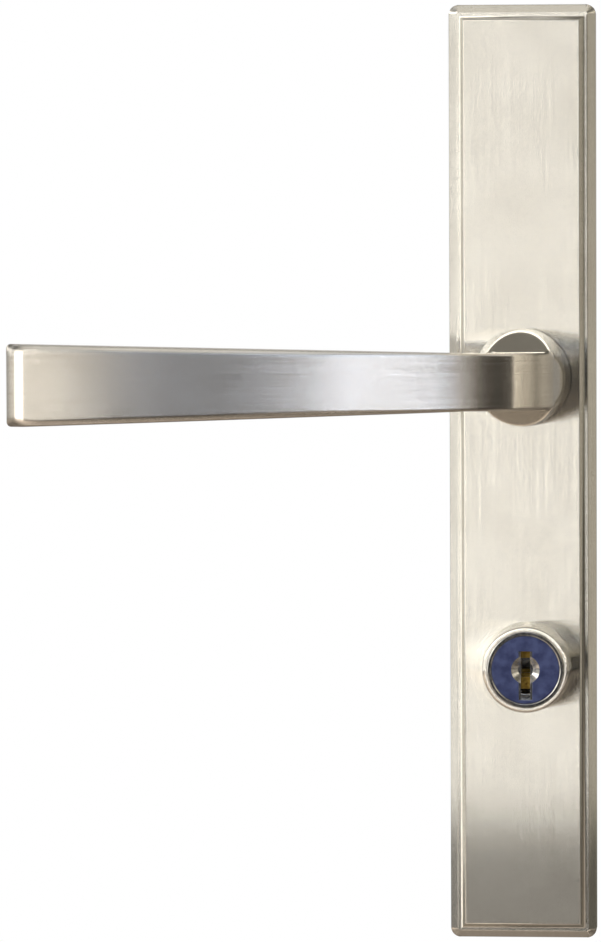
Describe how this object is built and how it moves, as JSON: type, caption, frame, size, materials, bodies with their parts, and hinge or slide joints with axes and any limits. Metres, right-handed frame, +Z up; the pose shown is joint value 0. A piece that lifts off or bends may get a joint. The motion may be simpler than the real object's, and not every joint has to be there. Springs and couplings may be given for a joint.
{
  "type": "door handle set",
  "caption": "Outside half of a storm-door handle set: long bevelled plate, sprung lever pointing left, key cylinder below, spindle, tapped posts and tailpiece behind.",
  "frame": {"origin": "where the lever's turning axis crosses the back face of the plate", "axes": "+X to the right seen from outside, +Y into the door along the spindle, +Z up along the plate; the lever points to -X"},
  "size_m": [0.1498, 0.089, 0.2425],
  "materials": {
    "brushed_nickel": "brushed nickel plate on die-cast zinc",
    "bright_nickel": "bright nickel plate on brass",
    "blue_face": "dark blue enamel, glossy",
    "wafer_brass": "plain",
    "zinc_plated_steel": "zinc plated",
    "spring_steel": "oiled",
    "acetal": "moulded"
  },
  "bodies": {
    "plate": {"escutcheon_plate": "brushed_nickel", "lever_bushing": "acetal", "lever_return_spring": "spring_steel", "mounting_posts": "zinc_plated_steel", "lock_housing": "bright_nickel", "lock_nut": "zinc_plated_steel", "lock_washer": "zinc_plated_steel"},
    "lever": {"lever": "brushed_nickel", "lever_driver": "zinc_plated_steel", "lever_retaining_ring": "spring_steel", "spindle": "zinc_plated_steel", "spindle_pin": "spring_steel"},
    "plug": {"lock_plug": "bright_nickel", "plug_face_cover": "blue_face", "lock_wafer_1": "wafer_brass", "lock_wafer_2": "wafer_brass", "lock_wafer_3": "wafer_brass", "lock_wafer_4": "wafer_brass", "lock_wafer_5": "wafer_brass", "lock_wafer_springs": "spring_steel", "plug_clip": "spring_steel", "tailpiece": "zinc_plated_steel", "tailpiece_pin": "spring_steel"}
  },
  "joints": [
    {"name": "lever_turn", "type": "hinge", "parent": "plate", "child": "lever", "pos_m": [0, -0.02, 0], "axis": [0, -1, 0], "range_deg": [0, 45], "stiffness_Nm_per_rad": 0.3, "springref_deg": -57.3, "deforming": ["lever_return_spring"]},
    {"name": "plug_turn", "type": "hinge", "parent": "plate", "child": "plug", "pos_m": [0.00115, -0.01, -0.075], "axis": [0, -1, 0], "range_deg": [-90, 90]}
  ]
}
